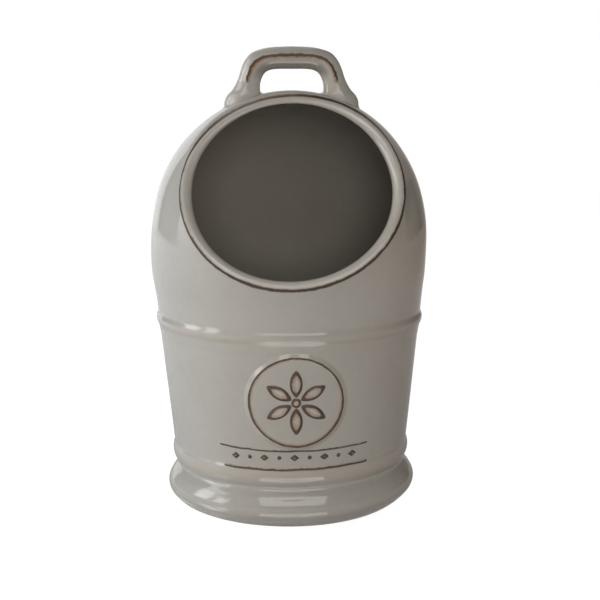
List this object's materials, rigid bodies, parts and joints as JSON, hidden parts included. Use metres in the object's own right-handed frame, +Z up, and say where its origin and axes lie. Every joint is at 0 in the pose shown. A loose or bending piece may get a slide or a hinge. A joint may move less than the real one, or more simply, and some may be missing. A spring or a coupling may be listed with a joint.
{
  "type": "salt pig",
  "caption": "Footed round stoneware salt pig with a wide slanted mouth under a domed hood, a finger handle on its crown, two beads and a raised medallion.",
  "frame": {"origin": "middle of the ring that the pot stands on, at table height, under the pot's axis", "axes": "+Z up along the pot's axis, -Y towards the front, where the mouth, the medallion and the label face, +X to the right of a viewer who looks at the front"},
  "size_m": [0.12, 0.1202, 0.2001],
  "materials": {
    "glaze": "satin grey-taupe glaze over brown stoneware",
    "rim_glaze": "satin glaze, worn brown on the edges",
    "medallion_glaze": "satin grey glaze over low relief",
    "worn_relief": "dark brown, where the glaze is worn thin over raised edges"
  },
  "bodies": {
    "root": {"foot_ring": "glaze", "floor_slab": "glaze", "base_bead": "glaze", "lower_wall": "glaze", "waist_bead": "glaze", "dome": "glaze", "mouth_rim": "rim_glaze", "handle": "glaze", "medallion": "medallion_glaze", "rosette": "worn_relief", "upper_line": "worn_relief", "lower_line": "worn_relief", "label_studs": "worn_relief"}
  },
  "joints": []
}
